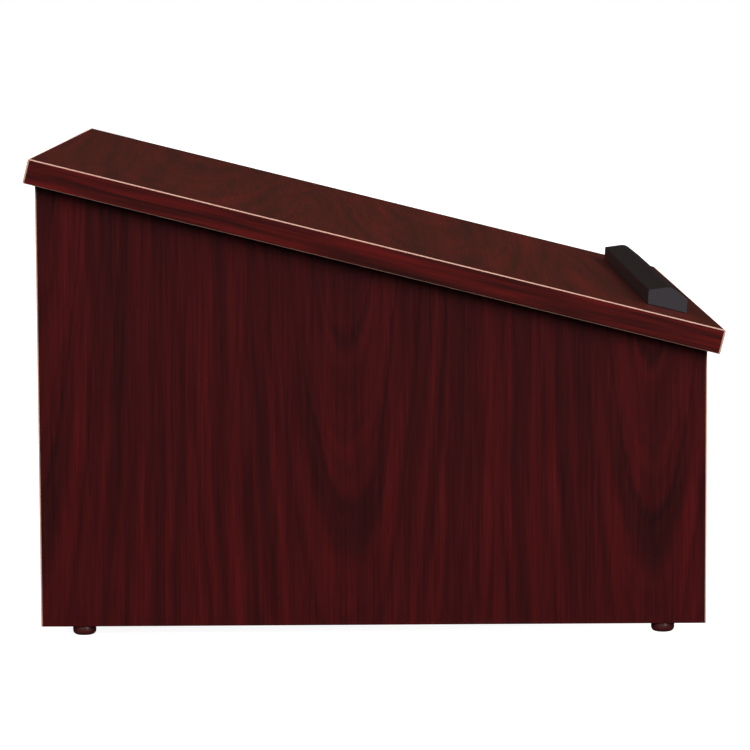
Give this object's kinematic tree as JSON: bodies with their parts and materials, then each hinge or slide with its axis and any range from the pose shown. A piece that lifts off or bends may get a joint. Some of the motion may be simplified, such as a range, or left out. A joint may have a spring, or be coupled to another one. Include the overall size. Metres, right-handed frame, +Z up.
{
  "type": "tabletop lectern",
  "caption": "Tabletop lectern of dark red wood-grain board: a sloping reading top with a black book stop over an open storage shelf, standing on short glides.",
  "frame": {"origin": "on the surface that the lectern stands on, under the middle of its bounding box", "axes": "+X to the speaker's right, +Y towards the audience (the high end of the reading top), +Z up"},
  "size_m": [0.603, 0.5044, 0.3482],
  "materials": {
    "laminate_board": "satin dark mahogany wood-grain laminate on particle board",
    "edge_band": "satin red-brown wood-grain band with a light peach core at its trimmed corners",
    "stop_plastic": "matt black moulded plastic",
    "glide_plastic": "glossy dark brown moulded plastic",
    "cam_zinc": "grey die-cast zinc",
    "fastener_steel": "bright zinc-plated steel",
    "dowel_beech": "bare beech"
  },
  "bodies": {
    "root": {"reading_top": "laminate_board", "left_side_panel": "laminate_board", "right_side_panel": "laminate_board", "front_panel": "laminate_board", "storage_shelf": "laminate_board", "top_band_front": "edge_band", "top_band_rear": "edge_band", "top_band_left": "edge_band", "top_band_right": "edge_band", "left_panel_band_front": "edge_band", "left_panel_band_rear": "edge_band", "right_panel_band_front": "edge_band", "right_panel_band_rear": "edge_band", "shelf_band_rear": "edge_band", "book_stop": "stop_plastic", "book_stop_screws": "fastener_steel", "foot_front_left": "glide_plastic", "foot_front_right": "glide_plastic", "foot_rear_left": "glide_plastic", "foot_rear_right": "glide_plastic", "foot_nails": "fastener_steel", "top_cams": "cam_zinc", "top_bolts": "fastener_steel", "top_dowels": "dowel_beech", "front_panel_cams": "cam_zinc", "front_panel_bolts": "fastener_steel", "front_panel_dowels": "dowel_beech", "shelf_cams": "cam_zinc", "shelf_bolts": "fastener_steel", "shelf_dowels": "dowel_beech"}
  },
  "joints": []
}
